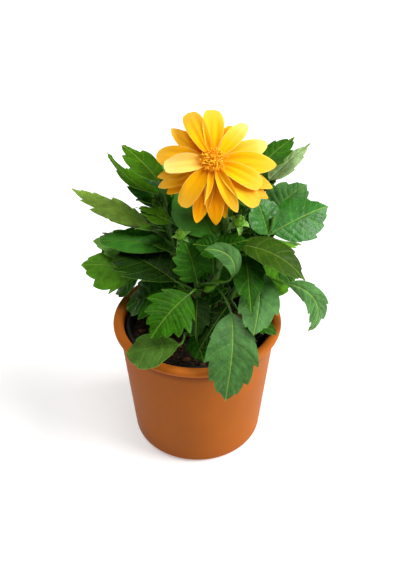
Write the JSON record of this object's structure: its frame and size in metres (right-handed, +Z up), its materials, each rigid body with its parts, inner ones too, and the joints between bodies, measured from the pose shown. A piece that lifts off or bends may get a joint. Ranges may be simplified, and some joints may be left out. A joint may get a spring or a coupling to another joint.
{
  "type": "potted dahlia",
  "caption": "Leafy dahlia with a yellow daisy-like bloom and buds, in a black nursery pot inside a round terracotta-coloured cover pot.",
  "frame": {"origin": "centre of the cover pot's flat underside", "axes": "+Z up, the bloom faces -Y, +X to the right as the bloom is looked at"},
  "size_m": [0.2153, 0.1971, 0.2755],
  "materials": {
    "cover_pot": "matte terracotta-coloured ceramic",
    "nursery_pot": "thin black moulded plastic",
    "potting_soil": "dark brown peat and bark mix",
    "stems": "smooth green stems",
    "leaves": "satin green leaves",
    "petals": "bright yellow petals with paler edges",
    "disc": "orange-yellow florets"
  },
  "bodies": {
    "root": {"cover_pot": "cover_pot", "nursery_pot": "nursery_pot", "potting_soil": "potting_soil", "main_stem": "stems", "stem_front": "stems", "stem_left": "stems", "stem_back_left": "stems", "stem_right": "stems", "stem_back_right": "stems", "stem_back": "stems", "stem_low_front": "stems", "leaves_front": "leaves", "leaves_left": "leaves", "leaves_back_left": "leaves", "leaves_right": "leaves", "leaves_back_right": "leaves", "leaves_back": "leaves", "leaves_low_front": "leaves", "leaves_centre_left": "leaves", "leaves_centre_right": "leaves", "leaves_centre_front": "leaves", "bloom_calyx": "leaves", "bloom_petals": "petals", "bloom_disc": "disc"}
  },
  "joints": []
}
